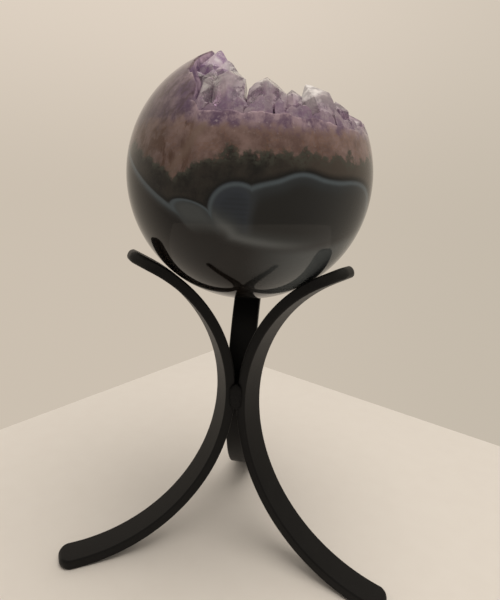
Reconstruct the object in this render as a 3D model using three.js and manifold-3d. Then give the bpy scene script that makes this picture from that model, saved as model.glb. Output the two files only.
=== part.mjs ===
// Polished amethyst geode ball on a black tripod stand of three bent flat bars.
// Millimetres, +Z up. The origin is on the table, under the middle of the part's outline.

import * as THREE from 'three';
import Module from 'manifold-3d';
import { mergeVertices } from 'three/addons/utils/BufferGeometryUtils.js';

// Ball
const ballRadius = 52;
const ballDetail = 7;
const seatGap = 0.3;
const stoneTurn = 6;

// Flat bar of the stand
const barWidth = 12.7;
const barThickness = 4.76;
const barEdge = 0.6;
const barCorner = 4;
const cornerSteps = 5;

// Bends of the bars, each radius on the face that looks at the axis
const armRadius = 73;
const armAngle = 61;
const armEnd = 10.5;
const legRadius = 75;
const toeLength = 5;
const bendSteps = 8;

// Where the three bars meet
const legSpacing = 120;
const barGap = 0.2;
const weldLength = 13;
const weldSide = 3.4;
const weldCrown = 0.7;
const weldEnd = 0.8;
const weldSteps = 6;
const weldGap = 0.3;

// Clearance between layers, and the spacing of the points on their faces
const layerGap = 0.3;
const layerGridStep = 6.5;

// Mineral layers, as heights above the ball's centre and places in its plan, in ball radii
const agateHeight = -0.17;
const agateRise = 0.52;
const agateRiseStart = 0.54;
const greenHeight = 0.19;
const greenDip = 0.15;
const greenDipPlace = -0.52;
const greenDipWidth = 0.23;
const greenTooth = 0.02;
const greenToothTurns = 100;
const quartzHeight = 0.385;
const quartzRise = 0.1;
const crustThickness = 0.08;
const thinnestLayer = 0.015;

// Open druse on top of the ball, and the high side wall that is left of it, in ball radii
const druseHeight = 0.445;
const druseDepth = 0.13;
const druseReach = 0.8;
const druseMiddle = 0.2;
const druseSlope = 0.07;
const hornHeight = 0.56;
const hornStart = 0.34;
const hornEnd = 0.52;
const hornSwell = 0.2;
const hornFront = -0.38;
const hornFull = -0.1;

// Rounded domes on top of the agate: place, width and height in ball radii
const agateDomes = [
  { x: -0.38, y: -0.88, width: 0.15, height: 0.05 },
  { x: -0.1, y: -0.96, width: 0.19, height: 0.2 },
  { x: 0.36, y: -0.88, width: 0.35, height: 0.27 },
  { x: 0.74, y: -0.6, width: 0.32, height: 0.24 },
  { x: 0.85, y: 0.38, width: 0.33, height: 0.17 },
  { x: 0.38, y: 0.88, width: 0.31, height: 0.23 },
  { x: -0.23, y: 0.92, width: 0.25, height: 0.15 },
];

// Amethyst points: the root's place, the tip, the radius, all in ball radii, and the blunt share of the end
const crystalPoints = [
  { root: [-0.31, -0.28], tip: [-0.268, -0.2, 0.945], radius: 0.16, blunt: 0 },
  { root: [-0.34, -0.71], tip: [-0.272, -0.61, 0.68], radius: 0.062, blunt: 0.3 },
  { root: [-0.16, -0.74], tip: [-0.15, -0.58, 0.7], radius: 0.125, blunt: 0.5 },
  { root: [0.05, -0.83], tip: [0.057, -0.71, 0.565], radius: 0.075, blunt: 0 },
  { root: [0.08, -0.72], tip: [0.1, -0.58, 0.665], radius: 0.155, blunt: 0.45 },
  { root: [0.28, -0.71], tip: [0.267, -0.6, 0.635], radius: 0.075, blunt: 0 },
  { root: [0.5, -0.57], tip: [0.36, -0.5, 0.67], radius: 0.15, blunt: 0.25 },
  { root: [0.63, -0.47], tip: [0.595, -0.4, 0.61], radius: 0.09, blunt: 0 },
  { root: [0.77, -0.32], tip: [0.71, -0.27, 0.53], radius: 0.1, blunt: 0 },
  { root: [0.85, 0.02], tip: [0.76, 0.02, 0.52], radius: 0.13, blunt: 0.15 },
  { root: [0.78, 0.27], tip: [0.69, 0.25, 0.58], radius: 0.13, blunt: 0 },
  { root: [0.59, 0.56], tip: [0.52, 0.48, 0.64], radius: 0.15, blunt: 0.2 },
  { root: [0.31, 0.72], tip: [0.29, 0.62, 0.67], radius: 0.14, blunt: 0 },
  { root: [0.04, 0.76], tip: [0.06, 0.63, 0.7], radius: 0.13, blunt: 0.2 },
  { root: [-0.16, 0.66], tip: [-0.13, 0.56, 0.75], radius: 0.15, blunt: 0 },
  { root: [-0.26, 0.37], tip: [-0.21, 0.33, 0.84], radius: 0.14, blunt: 0.15 },
  { root: [-0.27, 0.06], tip: [-0.2, 0.06, 0.88], radius: 0.15, blunt: 0 },
  { root: [-0.1, -0.4], tip: [-0.07, -0.31, 0.6], radius: 0.14, blunt: 0.2 },
  { root: [0.17, -0.4], tip: [0.17, -0.31, 0.56], radius: 0.14, blunt: 0 },
  { root: [0.44, -0.27], tip: [0.4, -0.23, 0.54], radius: 0.14, blunt: 0.2 },
  { root: [0.6, 0.02], tip: [0.54, 0.02, 0.5], radius: 0.13, blunt: 0 },
  { root: [0.48, 0.29], tip: [0.42, 0.25, 0.55], radius: 0.13, blunt: 0.25 },
  { root: [0.17, 0.42], tip: [0.17, 0.35, 0.56], radius: 0.15, blunt: 0 },
  { root: [-0.12, 0.29], tip: [-0.06, 0.25, 0.6], radius: 0.13, blunt: 0.15 },
  { root: [-0.14, -0.06], tip: [-0.06, -0.04, 0.58], radius: 0.14, blunt: 0 },
  { root: [0.22, 0.04], tip: [0.22, 0.04, 0.5], radius: 0.16, blunt: 0.2 },
  { root: [-0.22, -0.44], tip: [-0.19, -0.35, 0.83], radius: 0.11, blunt: 0.2 },
  { root: [-0.3, -0.58], tip: [-0.28, -0.5, 0.75], radius: 0.1, blunt: 0.15 },
];
const crystalSides = 6;
const crystalPoint = 1.1;
const crystalRoot = 0.5;

// Small points that cover the crust between those, in ball radii, laid out round the druse's middle
const smallCount = 300;
const smallTurn = 137.5;
const smallSpread = 1;
const smallRim = 0.995;
const smallRadius = 0.042;
const smallGrowth = 0.035;
const smallShare = 0.618;
const smallTall = 1.8;
const smallRoom = 0.9;

// Points along the edge of the polish, in ball radii
const rimCount = 60;
const rimHighest = 0.55;
const rimPlace = 0.9;
const rimInset = 0.985;
const rimRadius = 0.038;
const rimGrowth = 0.03;
const rimTall = 0.05;
const rimRise = 0.06;
const rimShare = 0.382;
const rimLean = 0.94;

const wasm = await Module();
wasm.setup();

// Solids in and out of the boolean library
const mergeDistance = 1e-4;

function solidOf(geometry) {
  const bare = geometry.clone();
  bare.deleteAttribute('normal');
  bare.deleteAttribute('uv');
  const merged = mergeVertices(bare, mergeDistance);
  const mesh = new wasm.Mesh({
    numProp: 3,
    vertProperties: Float32Array.from(merged.attributes.position.array),
    triVerts: Uint32Array.from(merged.index.array),
  });
  return new wasm.Manifold(mesh);
}

function geometryOf(solid) {
  const mesh = solid.getMesh();
  const geometry = new THREE.BufferGeometry();
  geometry.setAttribute('position', new THREE.BufferAttribute(mesh.vertProperties, mesh.numProp));
  geometry.setIndex(new THREE.BufferAttribute(mesh.triVerts, 1));
  geometry.computeVertexNormals();
  return geometry;
}

const radians = THREE.MathUtils.degToRad;
const ramp = THREE.MathUtils.smoothstep;

// Finishes
const finishes = {
  blackPaint: { color: 0x1d1c1d, roughness: 0.5, metalness: 0.1 },
  weldPaint: { color: 0x222122, roughness: 0.6, metalness: 0.1 },
  greyAgate: { color: 0x3b3733, roughness: 0.1, metalness: 0 },
  greenQuartz: { color: 0x33342a, roughness: 0.12, metalness: 0 },
  paleQuartz: { color: 0x75605a, roughness: 0.12, metalness: 0 },
  amethyst: { color: 0x5d4572, roughness: 0.15, metalness: 0 },
  amethystPoint: { color: 0x8a76a0, roughness: 0.12, metalness: 0 },
};

function piece(name, geometry, finish) {
  const mesh = new THREE.Mesh(geometry, new THREE.MeshStandardMaterial(finishes[finish]));
  mesh.name = name;
  return mesh;
}

// The bars' inner edges meet at the waist, so their faces lie this far from the axis.
const halfSpacing = radians(legSpacing / 2);
const barInset = barWidth / 2 / Math.tan(halfSpacing) + barGap;
const waistHeight = legRadius;
const armSweep = radians(armAngle);

// The ball rests on the bends of the arms, in the middle of each bar's face.
const seatReach = armRadius + ballRadius + seatGap;
const ballHeight = waistHeight + Math.sqrt(seatReach ** 2 - (barInset + armRadius) ** 2);

// Side view of one bar: X runs out from the axis, Y is the height.
function barProfile() {
  const armMiddle = barInset + armRadius;
  const legMiddle = barInset + legRadius;
  const toe = legMiddle + toeLength;
  const along = new THREE.Vector2(Math.sin(armSweep), Math.cos(armSweep));
  const across = new THREE.Vector2(Math.cos(armSweep), -Math.sin(armSweep));
  const bend = new THREE.Vector2(armMiddle, waistHeight).addScaledVector(across, -armRadius);
  const tip = bend.clone().addScaledVector(along, armEnd);
  const tipBack = tip.clone().addScaledVector(across, barThickness);
  const bendTurn = Math.PI - armSweep;
  const shape = new THREE.Shape();
  shape.moveTo(toe, 0);
  shape.lineTo(legMiddle, 0);
  shape.absarc(legMiddle, legRadius, legRadius, -Math.PI / 2, -Math.PI, true);
  shape.absarc(armMiddle, waistHeight, armRadius, Math.PI, bendTurn, true);
  shape.lineTo(tip.x, tip.y);
  shape.lineTo(tipBack.x, tipBack.y);
  shape.absarc(armMiddle, waistHeight, armRadius - barThickness, bendTurn, Math.PI, false);
  shape.absarc(legMiddle, legRadius, legRadius - barThickness, -Math.PI, -Math.PI / 2, false);
  shape.lineTo(toe, barThickness);
  shape.closePath();
  return { shape, toe, tip };
}

// What a rounded end takes off one corner of a bar: the corner is at the origin, the bar on the minus side.
function cornerCutter() {
  const spare = barThickness;
  const shape = new THREE.Shape();
  shape.moveTo(0, -barCorner);
  shape.lineTo(spare, -barCorner);
  shape.lineTo(spare, spare);
  shape.lineTo(-barCorner, spare);
  shape.lineTo(-barCorner, 0);
  shape.absarc(-barCorner, -barCorner, barCorner, Math.PI / 2, 0, true);
  const depth = barThickness * 3;
  const cutter = new THREE.ExtrudeGeometry(shape, { depth, bevelEnabled: false, curveSegments: cornerSteps });
  return cutter.translate(0, 0, -depth / 2);
}

function roundedEnd(bar, place, turn) {
  const near = cornerCutter().translate(0, barWidth / 2, 0);
  const far = cornerCutter().rotateX(Math.PI).translate(0, -barWidth / 2, 0);
  return [near, far].reduce((solid, cutter) => {
    cutter.rotateY(turn).translate(place.x, 0, place.y);
    return solid.subtract(solidOf(cutter));
  }, bar);
}

function barGeometry() {
  const { shape, toe, tip } = barProfile();
  const side = new THREE.ExtrudeGeometry(shape, {
    depth: barWidth - 2 * barEdge,
    bevelThickness: barEdge,
    bevelSize: barEdge,
    bevelOffset: -barEdge,
    bevelSegments: 1,
    curveSegments: bendSteps,
  });
  side.translate(0, 0, -barWidth / 2 + barEdge).rotateX(Math.PI / 2);
  const toed = roundedEnd(solidOf(side), new THREE.Vector2(toe, barThickness / 2), 0);
  return geometryOf(roundedEnd(toed, tip, armSweep - Math.PI / 2));
}

// A weld bead fills the groove between two bars at the waist.
function weldGeometry() {
  const apex = barWidth / 2 / Math.sin(halfSpacing) + weldGap / Math.sin(halfSpacing);
  const out = apex + weldSide * Math.cos(halfSpacing);
  const reach = weldSide * Math.sin(halfSpacing);
  const shape = new THREE.Shape();
  shape.moveTo(apex, 0);
  shape.lineTo(out, reach);
  shape.quadraticCurveTo(out + 2 * weldCrown, 0, out, -reach);
  shape.closePath();
  const bead = new THREE.ExtrudeGeometry(shape, {
    depth: weldLength - 2 * weldEnd,
    bevelThickness: weldEnd,
    bevelSize: weldEnd / 2,
    bevelOffset: -weldEnd / 2,
    bevelSegments: 2,
    curveSegments: weldSteps,
  });
  return bead.translate(0, 0, waistHeight - weldLength / 2 + weldEnd);
}

function makeStand() {
  const stand = new THREE.Group();
  const bars = [
    { name: 'leg_back', weld: 'weld_back_left' },
    { name: 'leg_front_left', weld: 'weld_front' },
    { name: 'leg_front_right', weld: 'weld_back_right' },
  ];
  bars.forEach(({ name, weld }, index) => {
    const turn = Math.PI / 2 + index * radians(legSpacing);
    const bar = piece(name, barGeometry(), 'blackPaint');
    bar.rotation.z = turn;
    const bead = piece(weld, weldGeometry(), 'weldPaint');
    bead.rotation.z = turn + halfSpacing;
    stand.add(bar, bead);
  });
  return stand;
}

// Heights of the layers' upper faces over a place in the ball's plan, all in ball radii
function domeHeight(dome, x, y) {
  const share = Math.hypot(x - dome.x, y - dome.y) / dome.width;
  return dome.height * Math.sqrt(Math.max(0, 1 - share ** 2));
}

function agateTop(x, y) {
  const rise = agateRise * Math.max(0, (-x - agateRiseStart) / (1 - agateRiseStart));
  const domes = agateDomes.map((dome) => domeHeight(dome, x, y));
  return agateHeight + Math.max(rise, ...domes);
}

function greenTop(x, y) {
  const dip = greenDip * Math.exp(-(((x - greenDipPlace) / greenDipWidth) ** 2));
  const turns = [x + y / 2, y - x / 2].map((place) => greenToothTurns * place);
  const teeth = greenTooth * Math.sin(turns[0]) * Math.cos(turns[1]);
  return Math.max(greenHeight - dip + teeth, agateTop(x, y) + thinnestLayer);
}

function druseFloor(x, y) {
  const swell = hornSwell * ramp(y, hornFront, hornFull);
  const horn = hornHeight * ramp(swell - x, hornStart, hornEnd);
  const reach = Math.hypot(x - druseMiddle, y) / druseReach;
  const bowl = druseDepth * Math.max(0, 1 - reach ** 2);
  return druseHeight + horn - bowl - druseSlope * Math.max(0, x - druseMiddle);
}

function quartzTop(x, y) {
  const level = quartzHeight + quartzRise * ramp(-x, 0, 1);
  const underCrust = Math.min(level, druseFloor(x, y) - crustThickness);
  return Math.max(underCrust, greenTop(x, y) + thinnestLayer);
}

// All that lies above one of those faces
function above(face, lift) {
  const side = 2 * ballRadius + 4 * layerGridStep;
  const steps = Math.round(side / layerGridStep);
  const block = new THREE.BoxGeometry(side, side, 2 * side, steps, steps, 1);
  const places = block.attributes.position;
  for (let i = 0; i < places.count; i += 1) {
    if (places.getZ(i) < 0) {
      const height = face(places.getX(i) / ballRadius, places.getY(i) / ballRadius);
      places.setZ(i, ballRadius * height + lift);
    }
  }
  return solidOf(block);
}

// One six-sided point from its root to its tip, larger all round by the allowance
function crystalSolid({ root, tip, radius, blunt }, allowance) {
  const end = new THREE.Vector3(...tip).multiplyScalar(ballRadius);
  const start = new THREE.Vector3(...root, druseFloor(...root)).multiplyScalar(ballRadius);
  const direction = end.clone().sub(start).normalize();
  const wide = ballRadius * radius + allowance;
  const length = end.distanceTo(start) + ballRadius * crystalRoot + 4 * allowance;
  const flat = wide * blunt;
  const profile = [
    new THREE.Vector2(0, -length),
    new THREE.Vector2(wide, -length),
    new THREE.Vector2(wide, (flat - wide) * crystalPoint),
    new THREE.Vector2(flat, 0),
  ];
  if (flat > 0) profile.push(new THREE.Vector2(0, 0));
  const prism = new THREE.LatheGeometry(profile, crystalSides);
  prism.applyQuaternion(new THREE.Quaternion().setFromUnitVectors(THREE.Object3D.DEFAULT_UP, direction));
  end.addScaledVector(direction, allowance * 2);
  return solidOf(prism.translate(end.x, end.y, end.z));
}

// Small points grow straight out of the floor, where it isn't taken up by a large one.
function smallPoint(index) {
  const turn = index * radians(smallTurn);
  const reach = smallSpread * Math.sqrt((index + 0.5) / smallCount);
  const x = druseMiddle + reach * Math.cos(turn);
  const y = reach * Math.sin(turn);
  const radius = smallRadius + smallGrowth * ((index * smallShare) % 1);
  const fallX = druseFloor(x - radius, y) - druseFloor(x + radius, y);
  const fallY = druseFloor(x, y - radius) - druseFloor(x, y + radius);
  const foot = new THREE.Vector3(x, y, druseFloor(x, y));
  const outward = new THREE.Vector3(fallX, fallY, 2 * radius).normalize();
  const tip = foot.clone().addScaledVector(outward, radius * smallTall);
  return { root: [x, y], foot, tip, radius, blunt: 0 };
}

function rimPlaceAt(index) {
  const turn = (2 * Math.PI * index) / rimCount;
  return new THREE.Vector2(Math.cos(turn), Math.sin(turn)).multiplyScalar(rimPlace);
}

function rimPoint(index) {
  const place = rimPlaceAt(index);
  const edge = Math.sqrt(1 - druseFloor(place.x, place.y) ** 2);
  const root = place.setLength(edge * rimInset).toArray();
  const radius = rimRadius + rimGrowth * ((index * smallShare) % 1);
  const height = rimTall + rimRise * ((index * rimShare) % 1);
  const tip = [root[0] * rimLean, root[1] * rimLean, druseFloor(...root) + height];
  return { root, tip, radius, blunt: 0 };
}

function isOnRim(index) {
  const place = rimPlaceAt(index);
  return druseFloor(place.x, place.y) < rimHighest;
}

function hasRoom({ foot, tip }) {
  const taken = crystalPoints.some((point) => {
    const start = new THREE.Vector3(...point.root, druseFloor(...point.root));
    const axis = new THREE.Line3(start, new THREE.Vector3(...point.tip));
    const nearest = new THREE.Vector3();
    return [foot, tip].some((place) => {
      axis.closestPointToPoint(place, true, nearest);
      return nearest.distanceTo(place) < point.radius * smallRoom;
    });
  });
  return foot.length() < smallRim && !taken;
}

function smallPointSolid(cover) {
  const inner = Array.from({ length: smallCount }, (_, index) => smallPoint(index)).filter(hasRoom);
  const rim = Array.from({ length: rimCount }, (_, index) => index).filter(isOnRim).map(rimPoint);
  const solids = [...inner, ...rim].map((point) => crystalSolid(point, 0));
  const joined = solids.reduce((sum, solid) => sum.add(solid)).intersect(cover);
  return crystalPoints.reduce((rest, point) => rest.subtract(crystalSolid(point, layerGap)), joined);
}

function makeStone() {
  const stone = new THREE.Group();
  const ball = solidOf(new THREE.IcosahedronGeometry(ballRadius, ballDetail));
  const layer = (floor, roof) => ball.intersect(above(floor, layerGap)).subtract(above(roof, 0));
  stone.add(piece('agate_base', geometryOf(ball.subtract(above(agateTop, 0))), 'greyAgate'));
  stone.add(piece('green_quartz_band', geometryOf(layer(agateTop, greenTop)), 'greenQuartz'));
  stone.add(piece('pale_quartz_band', geometryOf(layer(greenTop, quartzTop)), 'paleQuartz'));
  const small = smallPointSolid(ball.intersect(above(druseFloor, -layerGap)));
  stone.add(piece('amethyst_crust', geometryOf(layer(quartzTop, druseFloor).add(small)), 'amethyst'));
  let free = ball.intersect(above(druseFloor, layerGap));
  crystalPoints.forEach((point, index) => {
    const name = `amethyst_point_${String(index + 1).padStart(2, '0')}`;
    const solid = free.intersect(crystalSolid(point, 0));
    stone.add(piece(name, geometryOf(solid), 'amethystPoint'));
    free = free.subtract(crystalSolid(point, layerGap));
  });
  stone.position.z = ballHeight;
  stone.rotation.z = radians(stoneTurn);
  return stone;
}

// The part's outline runs from the ball's front to the end of the back toe.
const backReach = barInset + legRadius + toeLength;
const frontToeReach = backReach * Math.cos(halfSpacing) + barWidth / 2 * Math.sin(halfSpacing);
const frontReach = Math.max(ballRadius, frontToeReach);
const amethystSphere = new THREE.Group();
amethystSphere.add(makeStand(), makeStone());
amethystSphere.position.y = (frontReach - backReach) / 2;

export default amethystSphere;
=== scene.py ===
import random
from math import copysign, cos, hypot, pi, radians, sin, sqrt

import bmesh
import bpy
from mathutils import Matrix, Vector, geometry, noise


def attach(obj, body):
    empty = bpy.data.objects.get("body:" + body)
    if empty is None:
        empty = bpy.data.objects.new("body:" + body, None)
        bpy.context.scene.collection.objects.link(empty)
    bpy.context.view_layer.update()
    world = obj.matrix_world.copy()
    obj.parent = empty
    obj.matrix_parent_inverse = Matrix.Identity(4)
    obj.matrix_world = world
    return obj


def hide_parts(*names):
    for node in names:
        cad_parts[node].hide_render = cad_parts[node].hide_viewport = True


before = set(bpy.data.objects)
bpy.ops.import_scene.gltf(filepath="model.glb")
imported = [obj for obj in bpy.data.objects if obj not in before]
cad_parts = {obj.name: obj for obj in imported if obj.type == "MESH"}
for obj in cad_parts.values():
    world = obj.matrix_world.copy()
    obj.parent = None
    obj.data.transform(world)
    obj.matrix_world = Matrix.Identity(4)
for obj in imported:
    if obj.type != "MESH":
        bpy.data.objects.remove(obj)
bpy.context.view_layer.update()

mm = 0.001
standAxis = Vector((0, -15.933 * mm, 0))


# Node helpers

def wire(tree, socket, value):
    if isinstance(value, bpy.types.NodeSocket):
        tree.links.new(value, socket)
    elif isinstance(value, tuple) and len(value) == 3 and socket.type == "RGBA":
        socket.default_value = (*value, 1)
    else:
        socket.default_value = value


def calc(tree, operation, *values):
    node = tree.nodes.new("ShaderNodeMath")
    node.operation = operation
    for socket, value in zip(node.inputs, values):
        wire(tree, socket, value)
    return node.outputs[0]


def vectorCalc(tree, operation, *values, output="Vector"):
    node = tree.nodes.new("ShaderNodeVectorMath")
    node.operation = operation
    for socket, value in zip(node.inputs, values):
        wire(tree, socket, value)
    return node.outputs[output]


def fade(tree, value, low, high):  # 0 below low, 1 above high
    node = tree.nodes.new("ShaderNodeMapRange")
    node.interpolation_type = "SMOOTHSTEP"
    wire(tree, node.inputs["Value"], value)
    wire(tree, node.inputs["From Min"], low)
    wire(tree, node.inputs["From Max"], high)
    return node.outputs["Result"]


def tint(tree, share, first, second):
    node = tree.nodes.new("ShaderNodeMix")
    node.data_type = "RGBA"
    wire(tree, node.inputs[0], share)
    wire(tree, node.inputs[6], first)
    wire(tree, node.inputs[7], second)
    return node.outputs[2]


def layOver(tree, share, strength, below, above):
    return tint(tree, calc(tree, "MULTIPLY", share, strength), below, above)


def grain(tree, where, scale, detail=2, roughness=0.5, distortion=0):
    node = tree.nodes.new("ShaderNodeTexNoise")
    wire(tree, node.inputs["Vector"], where)
    node.inputs["Scale"].default_value = scale
    node.inputs["Detail"].default_value = detail
    node.inputs["Roughness"].default_value = roughness
    node.inputs["Distortion"].default_value = distortion
    return node.outputs["Fac"]


def sway(tree, where, scale):  # a wandering offset about zero
    node = tree.nodes.new("ShaderNodeTexNoise")
    wire(tree, node.inputs["Vector"], where)
    node.inputs["Scale"].default_value = scale
    return vectorCalc(tree, "SUBTRACT", node.outputs["Color"], (0.5, 0.5, 0.5))


def axesOf(tree, place):
    node = tree.nodes.new("ShaderNodeSeparateXYZ")
    wire(tree, node.inputs[0], place)
    return [node.outputs[name] for name in "XYZ"]


def cells(tree, where, scale):
    node = tree.nodes.new("ShaderNodeTexVoronoi")
    wire(tree, node.inputs["Vector"], where)
    node.inputs["Scale"].default_value = scale
    return node.outputs["Distance"]


def relief(tree, height, strength, distance):
    node = tree.nodes.new("ShaderNodeBump")
    node.inputs["Strength"].default_value = strength
    node.inputs["Distance"].default_value = distance
    wire(tree, node.inputs["Height"], height)
    return node.outputs["Normal"]


def newMaterial(name):
    material = bpy.data.materials.new(name)
    material.use_nodes = True
    tree = material.node_tree
    return material, tree, tree.nodes["Principled BSDF"]


def objectPlace(tree, location=(0, 0, 0), turn=0, size=1.0):  # in a piece's own measure
    place = tree.nodes.new("ShaderNodeTexCoord").outputs["Object"]
    mapping = tree.nodes.new("ShaderNodeMapping")
    mapping.vector_type = "TEXTURE"
    wire(tree, mapping.inputs["Vector"], place)
    mapping.inputs["Location"].default_value = location
    mapping.inputs["Rotation"].default_value = (0, 0, turn)
    mapping.inputs["Scale"].default_value = (size,) * 3
    return mapping.outputs["Vector"]


def addPiece(name, mesh, material, body, slot, *nodes):
    data = bpy.data.meshes.new(name)
    mesh.to_mesh(data)
    mesh.free()
    data.materials.append(material)
    thing = bpy.data.objects.new(name, data)
    bpy.context.scene.collection.objects.link(thing)
    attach(thing, body)
    if nodes:
        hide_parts(*nodes)
    return thing


def smoothStep(value, low, high):
    share = min(1, max(0, (value - low) / (high - low)))
    return share * share * (3 - 2 * share)


def softenShading(mesh, angle):
    for face in mesh.faces:
        face.smooth = True
    for edge in mesh.edges:
        edge.smooth = len(edge.link_faces) == 2 and edge.calc_face_angle() < angle


# Camera, from a fit of the stand and the ball to the photo

camera = {
    "turn": 5.99,
    "raise": 14.8,
    "roll": 3.371,
    "look": (3.184 * mm, 0, 119.728 * mm),
    "distance": 237.082 * mm,
    "lens": 30.97,
    "sensor": 36,
    "nearClip": 10 * mm,
}


def addCamera(settings):
    lift = radians(settings["raise"])
    roll = radians(settings["roll"])
    back = Vector((0, -cos(lift), sin(lift)))
    right = Vector((1, 0, 0))
    up = right.cross(-back)
    rolledRight = cos(roll) * right + sin(roll) * up
    rolledUp = cos(roll) * up - sin(roll) * right
    turn = Matrix.Rotation(radians(settings["turn"]), 3, "Z")
    placed = Matrix([turn @ side for side in (rolledRight, rolledUp, back)]).transposed().to_4x4()
    placed.translation = turn @ (Vector(settings["look"]) + back * settings["distance"]) + standAxis
    data = bpy.data.cameras.new("photoCamera")
    data.lens = settings["lens"]
    data.sensor_width = settings["sensor"]
    data.sensor_fit = "AUTO"
    data.clip_start = settings["nearClip"]
    thing = bpy.data.objects.new("photoCamera", data)
    thing.matrix_world = placed
    bpy.context.scene.collection.objects.link(thing)
    bpy.context.scene.camera = thing


addCamera(camera)
print("camera placed")


# Floor and light

studio = {
    "tableCorner": (-0.055, 0.2315),  # the far corner of the table top
    "frontMiddle": (0.021, 0.074),  # its rounded front edge turns about this place
    "frontReach": 0.343,
    "frontTurns": (-145.6, -14.1),
    "frontSteps": 24,
    "tableColours": ((0.7, 0.645, 0.58), (0.73, 0.68, 0.615)),
    "tableRoughness": 0.6,
    "speckScale": 90,
    "wallColours": ((0.6, 0.525, 0.435), (0.75, 0.655, 0.555)),  # low and high
    "wallHeights": (-0.1, 0.35),
    "rightWall": (0.5, 0.45, 0.37),
    "rightSpan": (-0.2, 0.4),
    "rightShare": 0.45,
    "nearWall": (0.45, 0.405, 0.35),  # the shady side behind the viewer
    "nearSpan": (-0.5, 0.3),
    "roomColours": ((0.35, 0.325, 0.3), (0.56, 0.53, 0.49)),  # light from near, from far and above
    "roomFacing": (0.6, 0.8),  # shares of far and of above
    "roomSpan": (-0.3, 0.7),
    "keyPlace": (0.15, -0.1, 1.1),
    "keyAim": (0, 0, 0.15),
    "keySize": 0.9,
    "keyPower": 8.0,
    "keyColour": (1.0, 0.96, 0.91),
}


def addTable(settings):
    mesh = bmesh.new()
    corner, middle = (Vector((*settings[name], 0)) for name in ("tableCorner", "frontMiddle"))
    low, high = (radians(turn) for turn in settings["frontTurns"])
    steps = settings["frontSteps"]
    turns = [low + (high - low) * step / steps for step in range(steps + 1)]
    front = [middle + settings["frontReach"] * Vector((cos(turn), sin(turn), 0)) for turn in turns]
    mesh.faces.new([mesh.verts.new(place) for place in (corner, *front)])
    data = bpy.data.meshes.new("tableTop")
    mesh.to_mesh(data)
    mesh.free()
    material, tree, shader = newMaterial("paleTable")
    speck = grain(tree, objectPlace(tree), settings["speckScale"], 3)
    wire(tree, shader.inputs["Base Color"], tint(tree, speck, *settings["tableColours"]))
    shader.inputs["Roughness"].default_value = settings["tableRoughness"]
    data.materials.append(material)
    table = bpy.data.objects.new("tableTop", data)
    bpy.context.scene.collection.objects.link(table)


def addRoom(settings):
    world = bpy.data.worlds.new("paleRoom")
    bpy.context.scene.world = world
    world.use_nodes = True
    tree = world.node_tree
    x, y, z = axesOf(tree, tree.nodes.new("ShaderNodeTexCoord").outputs["Generated"])
    wall = tint(tree, fade(tree, z, *settings["wallHeights"]), *settings["wallColours"])
    right = fade(tree, x, *settings["rightSpan"])
    wall = layOver(tree, right, settings["rightShare"], wall, settings["rightWall"])
    wall = tint(tree, fade(tree, y, *settings["nearSpan"]), settings["nearWall"], wall)
    far, above = settings["roomFacing"]
    facing = calc(tree, "MULTIPLY_ADD", y, far, calc(tree, "MULTIPLY", z, above))
    room = tint(tree, fade(tree, facing, *settings["roomSpan"]), *settings["roomColours"])
    rays = tree.nodes.new("ShaderNodeLightPath").outputs
    seen = calc(tree, "MAXIMUM", rays["Is Camera Ray"], rays["Is Transmission Ray"])
    seen = calc(tree, "MAXIMUM", seen, rays["Is Glossy Ray"])
    wire(tree, tree.nodes["Background"].inputs["Color"], tint(tree, seen, room, wall))


def addKey(settings):
    lamp = bpy.data.lights.new("softKey", "AREA")
    lamp.shape = "DISK"
    lamp.size = settings["keySize"]
    lamp.energy = settings["keyPower"]
    lamp.color = settings["keyColour"]
    key = bpy.data.objects.new("softKey", lamp)
    key.location = settings["keyPlace"]
    aim = Vector(settings["keyAim"]) - key.location
    key.rotation_euler = aim.to_track_quat("-Z", "Y").to_euler()
    key.visible_glossy = False
    bpy.context.scene.collection.objects.link(key)


addTable(studio)
addRoom(studio)
addKey(studio)
bpy.context.scene.view_settings.view_transform = "Standard"
print("studio lit")


# Stand of three bent flat bars

bars = {
    "width": 12.7 * mm,
    "thickness": 4.76 * mm,
    "edge": 0.8 * mm,
    "edgeSteps": 3,
    "inset": 3.866 * mm,
    "waist": 75 * mm,
    "armRadius": 73 * mm,
    "armAngle": 61,
    "armEnd": 10.5 * mm,
    "toe": 5 * mm,
    "corner": 4.8 * mm,
    "cornerSteps": 12,
    "endRound": 2.1 * mm,
    "bendSteps": 40,
    "evenWeight": 80,
    "turns": {"leg_back": 90, "leg_front_left": 210, "leg_front_right": 330},
}


paint = {
    "blacks": ((0.0035, 0.0034, 0.0035), (0.0075, 0.0073, 0.0071)),
    "wornColour": (0.018, 0.0175, 0.0165),
    "tipHighlightColour": (0.024, 0.0235, 0.021),
    "tipHighlightHeights": (135, 142),  # in mm, the tips of the arms, where a painted highlight lightens the paint
    "specular": 0.16,
    "rippleDepth": 0.25 * mm,
}


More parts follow.
